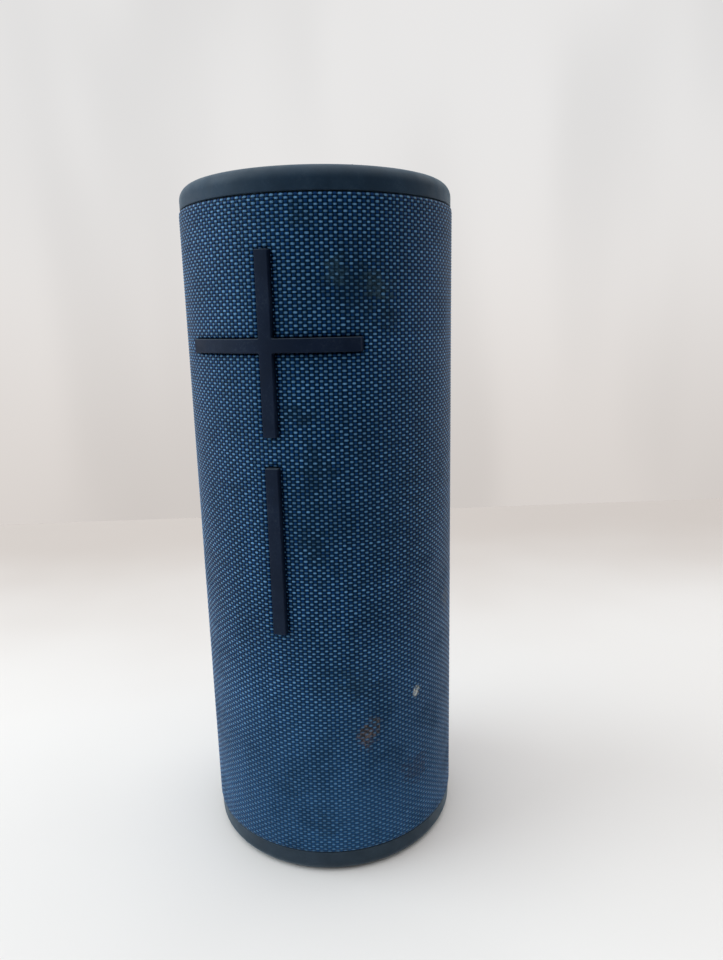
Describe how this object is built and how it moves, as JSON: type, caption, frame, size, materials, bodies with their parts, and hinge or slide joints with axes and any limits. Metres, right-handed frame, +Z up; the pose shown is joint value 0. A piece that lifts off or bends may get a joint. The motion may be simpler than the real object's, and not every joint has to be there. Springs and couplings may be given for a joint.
{
  "type": "portable bluetooth speaker",
  "caption": "Upright cylindrical portable bluetooth speaker in woven fabric, with plus and minus volume keys, rubber end caps, a hanging loop and a covered charging port.",
  "frame": {"origin": "centre of the underside, on the surface that the speaker stands on", "axes": "+Z up along the cylinder's axis; -Y is the front, which carries the plus and minus keys; +Y is the back, with the hanging loop and the charging port; the drivers face -X and +X"},
  "size_m": [0.073, 0.077, 0.184],
  "materials": {
    "woven_fabric": "two-tone plain weave",
    "webbing": "woven webbing",
    "cap_rubber": "matte, fine moulded texture",
    "key_rubber": "matte",
    "seal_rubber": "matte",
    "chassis_plastic": "moulded",
    "cone_paper": "pulp-filled polypropylene",
    "steel": "plain",
    "gold_contact": "gold plated",
    "circuit_board": "solder mask",
    "cell_wrap": "shrink wrap",
    "clear_plastic": "translucent"
  },
  "bodies": {
    "housing": {"base_cap": "cap_rubber", "base_gasket": "seal_rubber", "base_screw_1": "steel", "base_screw_2": "steel", "base_screw_3": "steel", "basket_left": "steel", "basket_right": "steel", "battery_holder": "chassis_plastic", "battery_pack": "cell_wrap", "chassis_front": "chassis_plastic", "chassis_rear": "chassis_plastic", "chassis_screw_1": "steel", "chassis_screw_2": "steel", "chassis_screw_3": "steel", "chassis_screw_4": "steel", "dock_carrier": "chassis_plastic", "dock_pin": "gold_contact", "dock_ring": "gold_contact", "fabric_sleeve": "woven_fabric", "foot_ring": "seal_rubber", "hang_loop": "webbing", "key_board": "circuit_board", "key_cable": "seal_rubber", "light_pipe": "clear_plastic", "magnet_left": "steel", "magnet_right": "steel", "main_board": "circuit_board", "minus_switch": "chassis_plastic", "pairing_switch": "chassis_plastic", "play_switch": "chassis_plastic", "plus_switch": "chassis_plastic", "port_bezel": "seal_rubber", "power_switch": "chassis_plastic", "radiator_frame_left": "steel", "radiator_frame_right": "steel", "radiator_surround_left": "seal_rubber", "radiator_surround_right": "seal_rubber", "surround_left": "seal_rubber", "surround_right": "seal_rubber", "top_cap": "cap_rubber", "top_gasket": "seal_rubber", "usb_socket": "steel", "volume_board": "circuit_board"},
    "plus_key": {"plus_button": "key_rubber", "plus_plunger": "seal_rubber"},
    "minus_key": {"minus_button": "key_rubber", "minus_plunger": "seal_rubber"},
    "play_key": {"play_button": "cap_rubber", "play_plunger": "seal_rubber"},
    "power_key": {"power_button": "cap_rubber", "power_plunger": "seal_rubber"},
    "pairing_key": {"pairing_button": "cap_rubber", "pairing_plunger": "seal_rubber"},
    "port_flap": {"usb_flap": "cap_rubber"},
    "driver_cone_left": {"cone_left": "cone_paper"},
    "driver_cone_right": {"cone_right": "cone_paper"},
    "radiator_left": {"radiator_piston_left": "cone_paper", "radiator_weight_left": "steel"},
    "radiator_right": {"radiator_piston_right": "cone_paper", "radiator_weight_right": "steel"}
  },
  "joints": [
    {"name": "plus_press", "type": "slide", "parent": "housing", "child": "plus_key", "axis": [0, 1, 0], "range_m": [0, 0.0006], "stiffness_N_per_m": 2500, "springref_m": -0.0005},
    {"name": "minus_press", "type": "slide", "parent": "housing", "child": "minus_key", "axis": [0, 1, 0], "range_m": [0, 0.0006], "stiffness_N_per_m": 2500, "springref_m": -0.0005},
    {"name": "play_press", "type": "slide", "parent": "housing", "child": "play_key", "axis": [0, 0, -1], "range_m": [0, 0.0006], "stiffness_N_per_m": 2500, "springref_m": -0.0005},
    {"name": "power_press", "type": "slide", "parent": "housing", "child": "power_key", "axis": [0, 0, -1], "range_m": [0, 0.0006], "stiffness_N_per_m": 2500, "springref_m": -0.0005},
    {"name": "pairing_press", "type": "slide", "parent": "housing", "child": "pairing_key", "axis": [0, 0, -1], "range_m": [0, 0.0006], "stiffness_N_per_m": 2500, "springref_m": -0.0005},
    {"name": "flap_swing", "type": "hinge", "parent": "housing", "child": "port_flap", "pos_m": [0, 0.0366, 0.0187], "axis": [-1, 0, 0], "range_deg": [0, 110]},
    {"name": "cone_left_travel", "type": "slide", "parent": "housing", "child": "driver_cone_left", "axis": [-1, 0, 0], "range_m": [-0.0012, 0.0012], "stiffness_N_per_m": 1500},
    {"name": "cone_right_travel", "type": "slide", "parent": "housing", "child": "driver_cone_right", "axis": [1, 0, 0], "range_m": [-0.0012, 0.0012], "stiffness_N_per_m": 1500},
    {"name": "radiator_left_travel", "type": "slide", "parent": "housing", "child": "radiator_left", "axis": [-1, 0, 0], "range_m": [-0.0025, 0.0025], "stiffness_N_per_m": 900},
    {"name": "radiator_right_travel", "type": "slide", "parent": "housing", "child": "radiator_right", "axis": [1, 0, 0], "range_m": [-0.0025, 0.0025], "stiffness_N_per_m": 900}
  ]
}
